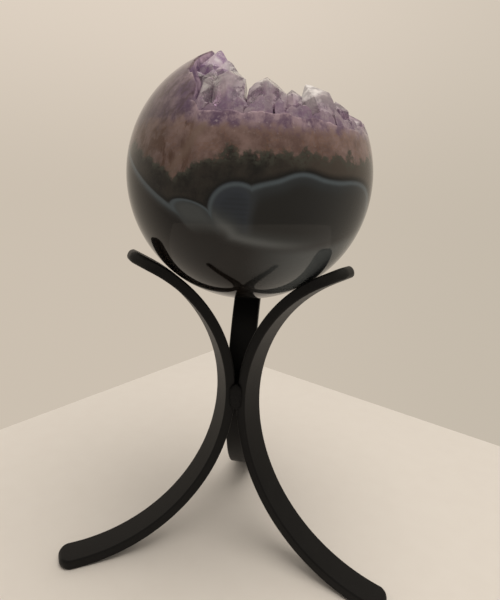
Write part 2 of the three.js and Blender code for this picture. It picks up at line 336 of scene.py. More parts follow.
def blackPaint(name, roughness, ripple, wear):  # pattern in mm
    material, tree, shader = newMaterial(name)
    place = objectPlace(tree, size=mm)
    blotch = grain(tree, place, 0.12, 4, 0.6)
    speck = grain(tree, place, 1.6, 3, 0.6)
    worn = fade(tree, grain(tree, place, 0.35, 5, 0.7), 0.58, 0.78)
    colour = tint(tree, blotch, *paint["blacks"])
    colour = layOver(tree, worn, wear, colour, paint["wornColour"])
    # painted highlight: the paint turns lighter towards the tips of the arms
    tips = fade(tree, axesOf(tree, place)[2], *paint["tipHighlightHeights"])
    tipHighlight = calc(tree, "MULTIPLY", tips, calc(tree, "ADD", blotch, 0.2))
    wire(tree, shader.inputs["Base Color"], tint(tree, tipHighlight, colour, paint["tipHighlightColour"]))
    rough = calc(tree, "MULTIPLY_ADD", speck, 0.16, roughness - 0.08)
    wire(tree, shader.inputs["Roughness"], calc(tree, "MULTIPLY_ADD", worn, 0.12, rough))
    shader.inputs["Specular IOR Level"].default_value = paint["specular"]
    height = calc(tree, "MULTIPLY_ADD", speck, 0.6, calc(tree, "MULTIPLY", blotch, 0.8))
    wire(tree, shader.inputs["Normal"], relief(tree, height, ripple, paint["rippleDepth"]))
    return material


def vertsOf(edges):  # each once, in the order of the edges
    return list(dict.fromkeys(vert for edge in edges for vert in edge.verts))


def edgesOf(made):
    return [part for part in made if isinstance(part, bmesh.types.BMEdge)]


# before and after are a half width, a half thickness and an edge
def pushRing(mesh, ring, step, before, after):
    edges = edgesOf(bmesh.ops.extrude_edge_only(mesh, edges=ring)["geom"])
    verts = vertsOf(edges)
    middle = sum((vert.co for vert in verts), Vector()) / len(verts)
    across = Vector((0, 1, 0))
    outward = step.cross(across).normalized()
    for vert in verts:
        offset = vert.co - middle
        vert.co = middle + step
        for side, was, now in zip((across, outward), before, after):
            reach = offset.dot(side)
            share = (abs(reach) - was) / before[2]
            vert.co += side * copysign(now + after[2] * share, reach)
    return edges


def bendRing(mesh, ring, centre, angle, steps):
    made = bmesh.ops.spin(mesh, geom=[*ring, *vertsOf(ring)], cent=centre, axis=(0, 1, 0),
                          angle=angle, steps=steps, use_merge=False, use_duplicate=False)
    return edgesOf(made["geom_last"])


def roundEnd(mesh, ring, along, length, settings):
    corner, soft, edge = settings["corner"], settings["endRound"], settings["edge"]
    wide, thick = settings["width"] / 2, settings["thickness"] / 2
    reached, sizes = 0, (wide, thick, edge)
    straight = length - corner
    steps = settings["cornerSteps"]
    for index in range(2 * steps):
        if index < steps:
            out = straight * (index + 1) / steps
            nowWide = wide
        else:
            angle = pi / 2 * (index + 1 - steps) / steps
            out = straight + corner * sin(angle)
            nowWide = wide - corner * (1 - cos(angle))
        share = max(0, 1 - (length - out) / soft)
        nowThick = thick - soft * (1 - sqrt(1 - share ** 2))
        nowEdge = min(nowThick, edge + (soft - edge) * smoothStep(out, 0, length))
        now = (nowWide, nowThick, nowEdge)
        ring = pushRing(mesh, ring, along * (out - reached), sizes, now)
        reached, sizes = out, now
    bmesh.ops.edgeloop_fill(mesh, edges=ring)


def barMesh(settings, turn):
    mesh = bmesh.new()
    inner, outer = settings["inset"], settings["inset"] + settings["thickness"]
    half, waist = settings["width"] / 2, settings["waist"]
    outline = ((inner, -half), (outer, -half), (outer, half), (inner, half))
    corners = [mesh.verts.new((x, y, waist)) for x, y in outline]
    mesh.faces.new(corners)
    bmesh.ops.bevel(mesh, geom=corners, offset=settings["edge"], affect="VERTICES",
                    segments=settings["edgeSteps"], profile=0.5, material=-1)
    bmesh.ops.delete(mesh, geom=mesh.faces[:], context="FACES_ONLY")
    waistRing = mesh.edges[:]
    armCentre = (inner + settings["armRadius"], 0, waist)
    armTurn = radians(settings["armAngle"])
    ring = bendRing(mesh, waistRing, armCentre, armTurn, settings["bendSteps"])
    along = Vector((sin(armTurn), 0, cos(armTurn)))
    roundEnd(mesh, ring, along, settings["armEnd"], settings)
    ring = bendRing(mesh, waistRing, (inner + waist, 0, waist), -pi / 2, settings["bendSteps"])
    roundEnd(mesh, ring, Vector((1, 0, 0)), settings["toe"], settings)
    bmesh.ops.remove_doubles(mesh, verts=mesh.verts, dist=1e-6)
    bmesh.ops.recalc_face_normals(mesh, faces=mesh.faces)
    for part in mesh.faces:
        part.smooth = True
    bmesh.ops.rotate(mesh, verts=mesh.verts, matrix=Matrix.Rotation(radians(turn), 3, "Z"))
    bmesh.ops.translate(mesh, verts=mesh.verts, vec=standAxis)
    return mesh


satinBlack = blackPaint("satinBlackPaint", roughness=0.42, ripple=0.25, wear=0.45)
for node, turn in bars["turns"].items():
    name = "bar" + node.title().replace("_", "").replace("Leg", "")
    bar = addPiece(name, barMesh(bars, turn), satinBlack, "stand", "black_paint", node)
    even = bar.modifiers.new("evenFaces", "WEIGHTED_NORMAL")
    even.weight = bars["evenWeight"]
print("bars bent")


# Weld beads in the grooves at the waist

welds = {
    "reach": 8.6 * mm,
    "height": 75 * mm,
    "halfLength": 6.4 * mm,
    "halfWidth": 3.05 * mm,
    "halfDepth": 1.35 * mm,
    "fineness": 5,
    "ripples": 7,
    "rippleBend": 0.3,
    "rippleDepth": 0.08,
    "lumpScales": (2.1, 5),
    "lumpDepth": 0.15,
    "endFall": 0.96,
    "endPower": 5,
    "endRoom": 1.04,
    "widest": 1.05,
    "smoothAngle": 50,
    "turns": {"weld_back_left": 150, "weld_front": 270, "weld_back_right": 30},
}


def weldMesh(settings, turn, seed):
    mesh = bmesh.new()
    bmesh.ops.create_icosphere(mesh, subdivisions=settings["fineness"], radius=1)
    coarse, fine = settings["lumpScales"]
    for vert in mesh.verts:
        place = vert.co.copy()
        scallop = abs(sin(settings["ripples"] * (place.z + settings["rippleBend"] * place.y ** 2)))
        lump = noise.noise(place * coarse + Vector((seed, 0, 0)))
        lump += 0.5 * noise.noise(place * fine + Vector((0, seed, 0)))
        blunt = 1 - settings["endFall"] * abs(place.z) ** settings["endPower"]
        full = blunt / sqrt(settings["endRoom"] - place.z ** 2)
        swell = 1 + settings["rippleDepth"] * (scallop - 0.5) + settings["lumpDepth"] * lump
        vert.co.x *= full * swell
        vert.co.y *= full * min(swell, settings["widest"])
    bmesh.ops.scale(mesh, verts=mesh.verts,
                    vec=(settings["halfDepth"], settings["halfWidth"], settings["halfLength"]))
    bmesh.ops.translate(mesh, verts=mesh.verts, vec=(settings["reach"], 0, settings["height"]))
    bmesh.ops.rotate(mesh, verts=mesh.verts, matrix=Matrix.Rotation(radians(turn), 3, "Z"))
    bmesh.ops.translate(mesh, verts=mesh.verts, vec=standAxis)
    softenShading(mesh, radians(settings["smoothAngle"]))
    return mesh


weldPaint = blackPaint("paintedWeld", roughness=0.6, ripple=0.3, wear=0.1)
for seed, (node, turn) in enumerate(welds["turns"].items()):
    name = "bead" + node.title().replace("_", "").replace("Weld", "")
    addPiece(name, weldMesh(welds, turn, seed), weldPaint, "stand", "weld_paint", node)
print("welds laid")


# Polished stone: all its layers in one piece, pattern in ball radii

stone = {
    "radius": 52 * mm,
    "height": 173.953 * mm,
    "turn": 6,
    "druse": {"height": 0.445, "depth": 0.13, "reach": 0.8, "middle": 0.2, "slope": 0.07},
    "horn": {"height": 0.56, "start": 0.34, "end": 0.52,
             "swell": 0.2, "front": -0.38, "full": -0.1},
    "spotCore": 0.25,  # share of a spot that is full
    "fineness": 7,
    "smoothAngle": 11,
    "lumpScales": (9, 21),
    "floorRoughness": 0.022,
    "rimStep": 0.012,
    "ragged": 0.06,
    "raggedScale": 7,
    "raggedShift": (5, 0, 0),
    "refraction": 1.54,
    "specular": 0.28,
    "domeScale": 0.15,  # the least that a dome's depth is measured by
    "darkSpots": [
        {"at": (-0.345, -0.5, 0.7), "reach": 0.1},
        {"at": (-0.376, -0.58, 0.61), "reach": 0.1},
        {"at": (-0.45, -0.66, 0.58), "reach": 0.12},
        {"at": (-0.456, -0.751, 0.477), "reach": 0.1},
        {"at": (0.15, -0.56, 0.65), "reach": 0.08},
        {"at": (0.276, -0.6, 0.61), "reach": 0.07},
    ],
    "wisp": [{"at": (0.063, -0.99, 0.12), "reach": 0.1}],
    "firstDomes": [
        {"middle": (-0.375, -0.91, -0.21), "radii": (0.15, 0.25, 0.08), "lean": 0.8},
        {"middle": (-0.215, -0.93, -0.44), "radii": (0.165, 0.25, 0.175)},
    ],
    "blueDome": {"middle": (-0.06, -0.98, -0.19), "radii": (0.2, 0.25, 0.195)},
    "frontDomes": [
        {"middle": (0.42, -0.85, -0.25), "radii": (0.64, 1.0, 0.305)},
        {"middle": (0.37, -0.92, -0.12), "radii": (0.22, 0.3, 0.205)},
        {"middle": (0.74, -0.68, -0.12), "radii": (0.26, 0.38, 0.165)},
    ],
    "backDomes": [
        {"middle": (0.88, 0.4, -0.2), "radii": (0.4, 0.36, 0.2)},
        {"middle": (0.38, 0.9, -0.2), "radii": (0.4, 0.36, 0.27)},
        {"middle": (-0.25, 0.95, -0.22), "radii": (0.3, 0.3, 0.17)},
    ],
}
stoneMiddle = standAxis + Vector((0, 0, stone["height"]))


def druseFloor(x, y):
    druse, horn = stone["druse"], stone["horn"]
    swell = horn["swell"] * smoothStep(y, horn["front"], horn["full"])
    wall = horn["height"] * smoothStep(swell - x, horn["start"], horn["end"])
    reach = hypot(x - druse["middle"], y) / druse["reach"]
    bowl = druse["depth"] * max(0, 1 - reach ** 2)
    return druse["height"] + wall - bowl - druse["slope"] * max(0, x - druse["middle"])


def placeStone(mesh):  # from ball radii to the part's frame
    bmesh.ops.scale(mesh, verts=mesh.verts, vec=(stone["radius"],) * 3)
    bmesh.ops.rotate(mesh, verts=mesh.verts, matrix=Matrix.Rotation(radians(stone["turn"]), 3, "Z"))
    bmesh.ops.translate(mesh, verts=mesh.verts, vec=stoneMiddle)


def stoneMesh():
    mesh = bmesh.new()
    bmesh.ops.create_icosphere(mesh, subdivisions=stone["fineness"], radius=1)
    coarse, fine = stone["lumpScales"]
    for vert in mesh.verts:
        place = vert.co
        lumps = noise.noise(place * coarse) + 0.5 * noise.noise(place * fine)
        ragged = noise.noise(place * stone["raggedScale"] + Vector(stone["raggedShift"]))
        ragged *= stone["ragged"]
        floor = druseFloor(place.x + ragged, place.y) + stone["floorRoughness"] * lumps
        if place.z > floor + stone["rimStep"]:
            vert.co.z = floor
        elif place.z > floor:  # onto the edge of the polish
            rim = place.xy.normalized() * sqrt(1 - floor ** 2)
            vert.co = rim.to_3d() + Vector((0, 0, floor))
    softenShading(mesh, radians(stone["smoothAngle"]))
    placeStone(mesh)
    return mesh


def stonePlace(tree):
    return objectPlace(tree, stoneMiddle, radians(stone["turn"]), stone["radius"])


def domeDepth(tree, place, dome):  # a dome stands on its own column
    offset = vectorCalc(tree, "SUBTRACT", place, dome["middle"])
    if "lean" in dome:
        height = axesOf(tree, offset)[2]
        offset = vectorCalc(tree, "MULTIPLY_ADD", height, (dome["lean"], 0, 0), offset)
    offset = vectorCalc(tree, "MAXIMUM", offset, (-9, -9, 0))  # no height below its middle
    offset = vectorCalc(tree, "DIVIDE", offset, dome["radii"])
    share = vectorCalc(tree, "LENGTH", offset, output="Value")
    scale = max(min(dome["radii"]), stone["domeScale"])
    return calc(tree, "MULTIPLY", calc(tree, "SUBTRACT", 1, share), scale)


def deepest(tree, depths, soft=0.0):
    result = depths[0]
    for depth in depths[1:]:
        result = calc(tree, "SMOOTH_MAX", result, depth, soft)
    return result


def domesDepth(tree, place, domes, soft, *others):
    return deepest(tree, [*others, *(domeDepth(tree, place, dome) for dome in domes)], soft)


bellBase = 2.718


def bandLine(tree, value, width):  # 1 where value is 0, falling off on both sides
    share = calc(tree, "DIVIDE", value, width)
    square = calc(tree, "MULTIPLY", share, share)
    return calc(tree, "POWER", bellBase, calc(tree, "MULTIPLY", square, -1))


def spotShare(tree, place, spots):  # 1 near the middle of any spot
    result = 0
    for spot in spots:
        away = vectorCalc(tree, "DISTANCE", place, spot["at"], output="Value")
        share = fade(tree, away, spot["reach"], stone["spotCore"] * spot["reach"])
        result = calc(tree, "MAXIMUM", result, share)
    return result


agate = {
    "backSway": 0.35,  # how far the pattern wanders behind
    "swayScale": 2.6,
    "slope": {"height": 0.222, "right": -0.257, "away": -0.614, "round": 0.07},  # its first edge
    "firstBlend": 0.03,
    "domeBlend": 0.06,
    "deep": ((0.0045, 0.0032, 0.0026), (0.0085, 0.0064, 0.0052)),
    "deepRight": (0.098, 0.108, 0.11),
    "deepEdge": (0.03, 0.0295, 0.029),
    "smallDome": (0.075, 0.082, 0.083),
    "dome": ((0.0165, 0.0163, 0.015), (0.028, 0.029, 0.0285)),
    "domeEdge": (0.026, 0.03, 0.032),
    "blue": ((0.018, 0.0215, 0.026), (0.035, 0.044, 0.058)),
    "blueEdge": (0.036, 0.045, 0.063),
    "blueBands": 190,
    "seam": (0.045, 0.053, 0.062),
    "veil": (0.055, 0.061, 0.06),
    "step": (0.125, 0.134, 0.134),
    "glow": (0.036, 0.042, 0.046),
    "rim": (0.092, 0.116, 0.13),
}


def agateColour(tree, place):
    behind = fade(tree, axesOf(tree, place)[1], -0.4, 0.2)
    behind = calc(tree, "MULTIPLY", behind, agate["backSway"])
    wander = sway(tree, place, agate["swayScale"])
    place = vectorCalc(tree, "MULTIPLY_ADD", wander, behind, place)
    x, y, z = axesOf(tree, place)
    edge = agate["slope"]
    slope = calc(tree, "MULTIPLY_ADD", x, edge["right"], edge["height"])
    away = calc(tree, "SQRT", calc(tree, "MULTIPLY_ADD", y, y, edge["round"]))
    slope = calc(tree, "MULTIPLY_ADD", away, edge["away"], slope)
    under = calc(tree, "SUBTRACT", slope, z)
    first = domesDepth(tree, place, stone["firstDomes"], agate["firstBlend"], under)
    blue = domeDepth(tree, place, stone["blueDome"])
    front = domesDepth(tree, place, stone["frontDomes"], agate["domeBlend"])
    back = domesDepth(tree, place, stone["backDomes"], agate["domeBlend"])
    later = deepest(tree, [blue, front, back])
    depth = deepest(tree, [first, later])
    haze = grain(tree, place, 4, 4, 0.6)
    fine = grain(tree, place, 30, 3, 0.6)

    # under the first edge
    deep = tint(tree, fade(tree, haze, 0.3, 0.7), *agate["deep"])
    deep = tint(tree, fade(tree, x, -0.05, 0.5), deep, agate["deepRight"])
    below = tint(tree, fade(tree, first, 0.0, 0.12), agate["deepEdge"], deep)
    small = domeDepth(tree, place, stone["firstDomes"][0])
    bright = calc(tree, "MULTIPLY", fade(tree, small, 0.0, 0.05), fade(tree, z, -0.38, -0.24))
    below = tint(tree, bright, below, agate["smallDome"])

    # inside the later domes
    dark = tint(tree, fade(tree, x, 0.2, 0.75), *agate["dome"])
    inside = tint(tree, fade(tree, later, 0.02, 0.13), agate["domeEdge"], dark)
    bands = calc(tree, "SINE", calc(tree, "MULTIPLY", z, agate["blueBands"]))
    bands = calc(tree, "MULTIPLY_ADD", bands, 0.1, 0.4)
    bands = calc(tree, "MULTIPLY_ADD", haze, 0.3, bands)
    blueTint = tint(tree, bands, *agate["blue"])
    blueTint = tint(tree, fade(tree, blue, 0.11, 0.03), blueTint, agate["blueEdge"])
    overFront = calc(tree, "SUBTRACT", blue, front)
    inside = tint(tree, fade(tree, overFront, -0.01, 0.03), inside, blueTint)
    seam = bandLine(tree, overFront, 0.04)
    seam = calc(tree, "MULTIPLY", seam, fade(tree, later, -0.01, 0.03))
    inside = layOver(tree, seam, 0.45, inside, agate["seam"])
    veil = calc(tree, "MULTIPLY", fade(tree, first, -0.13, 0.0), fade(tree, x, 0.75, 0.2))
    inside = layOver(tree, veil, 0.8, inside, agate["veil"])

    # pale lines along the edges
    colour = tint(tree, fade(tree, first, -0.02, 0.02), inside, below)
    step = bandLine(tree, calc(tree, "SUBTRACT", first, 0.01), 0.036)
    step = calc(tree, "MULTIPLY", step, fade(tree, later, 0.0, 0.05))
    step = calc(tree, "MULTIPLY", step, fade(tree, x, 0.6, 0.1))
    colour = layOver(tree, step, 0.85, colour, agate["step"])
    colour = layOver(tree, fade(tree, depth, 0.1, 0.02), 0.5, colour, agate["glow"])
    width = calc(tree, "MULTIPLY_ADD", fade(tree, x, -0.35, -0.6), 0.012, 0.014)
    rim = bandLine(tree, calc(tree, "SUBTRACT", depth, 0.018), width)
    rim = calc(tree, "MULTIPLY", rim, calc(tree, "MULTIPLY_ADD", fine, 0.3, 0.72))
    return tint(tree, rim, colour, agate["rim"]), depth


def flattened(tree, place, share):
    return vectorCalc(tree, "MULTIPLY", place, (1, 1, share))


def fineAndCloud(tree, place):
    fine = grain(tree, place, 34, 4, 0.6)
    return fine, grain(tree, flattened(tree, place, 0.7), 13, 4, 0.65)


def brownStreaks(tree, place, x):
    streak = grain(tree, flattened(tree, place, 0.3), 11, 4, 0.6, 1.2)
    return calc(tree, "MULTIPLY", fade(tree, streak, 0.46, 0.62), fade(tree, x, -0.25, -0.45))


amethyst = {
    "violet": ((0.13, 0.08, 0.12), (0.33, 0.235, 0.26)),
    "shade": (0.09, 0.052, 0.105),
    "fleck": (0.46, 0.37, 0.38),
    "left": (0.07, 0.045, 0.05),
    "darkSpot": (0.075, 0.04, 0.085),
    "streak": (0.06, 0.035, 0.03),
    "broken": ((0.12, 0.07, 0.13), (0.34, 0.24, 0.3)),
    "brokenLow": (0.06, 0.034, 0.06),
}


def violetColour(tree, place, x):
    fine, cloud = fineAndCloud(tree, place)
    violet = tint(tree, fade(tree, cloud, 0.36, 0.64), *amethyst["violet"])
    shade = fade(tree, grain(tree, place, 5, 3, 0.6), 0.52, 0.66)
    violet = layOver(tree, shade, 0.55, violet, amethyst["shade"])
    violet = layOver(tree, fade(tree, fine, 0.58, 0.72), 0.5, violet, amethyst["fleck"])
    violet = layOver(tree, fade(tree, x, -0.2, -0.75), 0.8, violet, amethyst["left"])
    dark = spotShare(tree, place, stone["darkSpots"])
    violet = layOver(tree, dark, 0.7, violet, amethyst["darkSpot"])
    return layOver(tree, brownStreaks(tree, place, x), 0.5, violet, amethyst["streak"])


quartz = {
    "greenTop": 0.195,
    "pinkTop": 0.355,
    "dip": {"at": -0.48, "width": 0.2, "depth": 0.165},
    "green": ((0.009, 0.0072, 0.006), (0.031, 0.025, 0.0195)),
    "greenFleck": (0.034, 0.033, 0.024),
    "greenRight": (0.078, 0.06, 0.046),
    "greenEdge": (0.004, 0.004, 0.0035),
    "wisp": (0.004, 0.0035, 0.003),
    "moss": (0.062, 0.062, 0.047),
    "pink": ((0.12, 0.071, 0.06), (0.23, 0.15, 0.132)),
    "pinkCloud": (0.27, 0.185, 0.165),
    "pinkLeft": (0.07, 0.046, 0.04),
    "pinkFleck": (0.33, 0.25, 0.225),
    "rust": (0.19, 0.095, 0.055),
    "streak": (0.078, 0.037, 0.022),
    "slant": (0.19, 0.128, 0.1),
}


def greenColour(tree, place, x, mottle, fine, depth):
    green = tint(tree, fade(tree, mottle, 0.3, 0.7), *quartz["green"])
    green = layOver(tree, fade(tree, fine, 0.45, 0.75), 0.5, green, quartz["greenFleck"])
    green = layOver(tree, fade(tree, x, 0.0, 0.6), 0.7, green, quartz["greenRight"])
    green = layOver(tree, spotShare(tree, place, stone["wisp"]), 0.75, green, quartz["wisp"])
    return tint(tree, fade(tree, depth, -0.05, 0.0), green, quartz["greenEdge"])


def pinkColour(tree, place, x, z, mottle, fine, cloud):
    pink = tint(tree, fade(tree, mottle, 0.32, 0.68), *quartz["pink"])
    pink = layOver(tree, fade(tree, cloud, 0.5, 0.7), 0.4, pink, quartz["pinkCloud"])
    veins = grain(tree, place, 6, 4, 0.7, 0.8)
    rust = bandLine(tree, calc(tree, "SUBTRACT", veins, 0.5), 0.02)
    pink = layOver(tree, rust, 0.35, pink, quartz["rust"])
    pink = layOver(tree, fade(tree, x, -0.25, -0.8), 0.45, pink, quartz["pinkLeft"])
    pink = layOver(tree, brownStreaks(tree, place, x), 0.8, pink, quartz["streak"])
    tilted = calc(tree, "SUBTRACT", calc(tree, "MULTIPLY", x, 1.5), z)
    slant = calc(tree, "MULTIPLY_ADD", mottle, 0.1, tilted)
    slant = bandLine(tree, calc(tree, "ADD", slant, 0.77), 0.065)
    pink = layOver(tree, slant, 0.7, pink, quartz["slant"])
    return layOver(tree, fade(tree, fine, 0.6, 0.74), 0.4, pink, quartz["pinkFleck"])


def quartzColour(tree, place, axes, depth):
    x, y, z = axes
    mottle = grain(tree, place, 7, 5, 0.65)
    fine, cloud = fineAndCloud(tree, place)
    green = greenColour(tree, place, x, mottle, fine, depth)
    pink = pinkColour(tree, place, x, z, mottle, fine, cloud)

    # the tufted edge of the green, with its dip at the left
    dip = bandLine(tree, calc(tree, "SUBTRACT", x, quartz["dip"]["at"]), quartz["dip"]["width"])
    dip = calc(tree, "MULTIPLY", dip, -quartz["dip"]["depth"])
    dip = calc(tree, "MULTIPLY", dip, fade(tree, y, 0.2, -0.2))
    tufts = grain(tree, place, 17, 4, 0.65)
    lumps = cells(tree, flattened(tree, place, 0.7), 9)
    tooth = calc(tree, "MULTIPLY", calc(tree, "SUBTRACT", tufts, 0.5), 0.14)
    tooth = calc(tree, "MULTIPLY_ADD", calc(tree, "SUBTRACT", 0.45, lumps), 0.13, tooth)
    level = calc(tree, "ADD", calc(tree, "ADD", dip, quartz["greenTop"]), tooth)
    overGreen = calc(tree, "SUBTRACT", z, level)
    colour = tint(tree, fade(tree, overGreen, -0.016, 0.024), green, pink)
    moss = bandLine(tree, calc(tree, "ADD", overGreen, 0.014), 0.036)
    moss = calc(tree, "MULTIPLY", moss, fade(tree, fine, 0.35, 0.6))
    colour = layOver(tree, moss, 0.8, colour, quartz["moss"])

    # the wavering edge of the pink
    waver = calc(tree, "MULTIPLY", calc(tree, "SUBTRACT", mottle, 0.5), 0.2)
    waver = calc(tree, "MULTIPLY_ADD", calc(tree, "SUBTRACT", cloud, 0.5), 0.12, waver)
    overPink = calc(tree, "SUBTRACT", z, calc(tree, "ADD", waver, quartz["pinkTop"]))
    return tint(tree, fade(tree, overPink, -0.04, 0.05), colour, violetColour(tree, place, x))


def polishedStone():
    material, tree, shader = newMaterial("polishedGeode")
    place = stonePlace(tree)
    axes = axesOf(tree, place)
    lower, depth = agateColour(tree, place)
    upper = quartzColour(tree, place, axes, depth)
    colour = tint(tree, fade(tree, depth, -0.01, 0.008), upper, lower)
    reach = vectorCalc(tree, "LENGTH", place, output="Value")
    natural = fade(tree, reach, 0.992, 0.985)  # inside the polished skin
    patches = fade(tree, grain(tree, place, 14, 4, 0.6), 0.35, 0.65)
    broken = tint(tree, patches, *amethyst["broken"])
    broken = tint(tree, fade(tree, axes[2], 0.6, 0.45), broken, amethyst["brokenLow"])
    wire(tree, shader.inputs["Base Color"], tint(tree, natural, colour, broken))
    wire(tree, shader.inputs["Roughness"], calc(tree, "MULTIPLY_ADD", natural, 0.25, 0.07))
    shader.inputs["IOR"].default_value = stone["refraction"]
    shader.inputs["Specular IOR Level"].default_value = stone["specular"]
    return material


addPiece("polishedBall", stoneMesh(), polishedStone(), "ball", "grey_agate",
         "agate_base", "green_quartz_band", "pale_quartz_band", "amethyst_crust")
print("stone polished")


# Amethyst points, one piece for each, with root and tip in ball radii

points = {
    "rootDepth": 0.14,
    "taper": 0.94,
    "faceLean": 52,
    "apexRise": 1.1,
    "drop": (0, 0.08),  # of an end face below the apex, in crystal radii
    "oddDrop": (0.05, 0.25),  # more, for every second face
    "topLean": (3, 16),
    "spin": 12,
    "edge": 0.0035,
    "edgeSteps": 2,
    "sharpAngle": 20,
    "smoothAngle": 14,
    "slivers": (1e-4, 2e-4),  # closed up before and after the edges are bevelled
    "polishedReach": 0.9975,
    "polishError": 1.0015,
    "polishTries": 120,
    "seed": 7,
    "tints": {
        "clear": ((0.37, 0.22, 0.38), (0.68, 0.57, 0.62)),  # low, and high with a painted highlight on the tops
        "pale": ((0.6, 0.45, 0.53), (0.95, 0.91, 0.87)),
        "horn": ((0.25, 0.135, 0.28), (0.48, 0.36, 0.46)),  # clear and milky
        "darkSpot": (0.16, 0.08, 0.19),
        "white": (0.95, 0.92, 0.88),
    },
    # spots of painted highlight on the tops of some points
    "highlightSpots": [
        {"at": (0.41, -0.52, 0.62), "reach": 0.3},
        {"at": (-0.17, -0.58, 0.72), "reach": 0.12},
        {"at": (-0.25, -0.72, 0.5), "reach": 0.06},
        {"at": (0.63, -0.45, 0.51), "reach": 0.06},
        {"at": (0.77, -0.4, 0.48), "reach": 0.07},
        {"at": (0.69, -0.5, 0.42), "reach": 0.06},
        {"at": (-0.27, -0.33, 0.86), "reach": 0.05},
    ],
    "made": [
        {"root": (-0.31, -0.28), "tip": (-0.268, -0.2, 0.945), "radius": 0.16, "blunt": 0,
         "depth": 0.45},
        {"root": (-0.34, -0.71), "tip": (-0.272, -0.61, 0.68), "radius": 0.062, "blunt": 0.3},
        {"root": (-0.16, -0.74), "tip": (-0.15, -0.58, 0.7), "radius": 0.125, "blunt": 0.5},
        {"root": (0.05, -0.83), "tip": (0.057, -0.71, 0.565), "radius": 0.075, "blunt": 0},
        {"root": (0.08, -0.72), "tip": (0.1, -0.58, 0.665), "radius": 0.155, "blunt": 0.45},
        {"root": (0.28, -0.71), "tip": (0.267, -0.6, 0.635), "radius": 0.075, "blunt": 0},
        {"root": (0.5, -0.57), "tip": (0.36, -0.5, 0.67), "radius": 0.15, "blunt": 0.25},
        {"root": (0.63, -0.47), "tip": (0.595, -0.4, 0.61), "radius": 0.09, "blunt": 0},
        {"root": (0.77, -0.32), "tip": (0.71, -0.27, 0.53), "radius": 0.1, "blunt": 0},
        {"root": (0.85, 0.02), "tip": (0.76, 0.02, 0.52), "radius": 0.13, "blunt": 0.15},
        {"root": (0.78, 0.27), "tip": (0.69, 0.25, 0.58), "radius": 0.13, "blunt": 0},
        {"root": (0.59, 0.56), "tip": (0.52, 0.48, 0.64), "radius": 0.15, "blunt": 0.2},
        {"root": (0.31, 0.72), "tip": (0.29, 0.62, 0.67), "radius": 0.14, "blunt": 0},
        {"root": (0.04, 0.76), "tip": (0.06, 0.63, 0.7), "radius": 0.13, "blunt": 0.2},
        {"root": (-0.16, 0.66), "tip": (-0.13, 0.56, 0.75), "radius": 0.15, "blunt": 0,
         "depth": 0.3},
        {"root": (-0.26, 0.37), "tip": (-0.21, 0.33, 0.84), "radius": 0.14, "blunt": 0.15,
         "depth": 0.4},
        {"root": (-0.27, 0.06), "tip": (-0.2, 0.06, 0.88), "radius": 0.15, "blunt": 0,
         "depth": 0.4},
        {"root": (-0.1, -0.4), "tip": (-0.07, -0.31, 0.6), "radius": 0.14, "blunt": 0.2},
        {"root": (0.17, -0.4), "tip": (0.17, -0.31, 0.56), "radius": 0.14, "blunt": 0},
        {"root": (0.44, -0.27), "tip": (0.4, -0.23, 0.54), "radius": 0.14, "blunt": 0.2},
        {"root": (0.6, 0.02), "tip": (0.54, 0.02, 0.5), "radius": 0.13, "blunt": 0},
        {"root": (0.48, 0.29), "tip": (0.42, 0.25, 0.55), "radius": 0.13, "blunt": 0.25},
        {"root": (0.17, 0.42), "tip": (0.17, 0.35, 0.56), "radius": 0.15, "blunt": 0},
        {"root": (-0.12, 0.29), "tip": (-0.06, 0.25, 0.6), "radius": 0.13, "blunt": 0.15},
        {"root": (-0.14, -0.06), "tip": (-0.06, -0.04, 0.58), "radius": 0.14, "blunt": 0},
        {"root": (0.22, 0.04), "tip": (0.22, 0.04, 0.5), "radius": 0.16, "blunt": 0.2},
        {"root": (-0.22, -0.44), "tip": (-0.19, -0.35, 0.83), "radius": 0.11, "blunt": 0.2,
         "depth": 0.4},
        {"root": (-0.3, -0.58), "tip": (-0.28, -0.5, 0.75), "radius": 0.1, "blunt": 0.15,
         "depth": 0.3},
    ],
}


def cutAway(mesh, spot, outward):
    everything = mesh.verts[:] + mesh.edges[:] + mesh.faces[:]
    bmesh.ops.bisect_plane(mesh, geom=everything, plane_co=spot, plane_no=outward,
                           clear_outer=True)
    opened = [edge for edge in mesh.edges if edge.is_boundary]
    if opened:
        bmesh.ops.edgeloop_fill(mesh, edges=opened)


def leaned(lean, facing):
    return Vector((sin(lean) * cos(facing), sin(lean) * sin(facing), cos(lean)))


def isSharp(edge, angle):
    return len(edge.link_faces) == 2 and edge.calc_face_angle() > angle


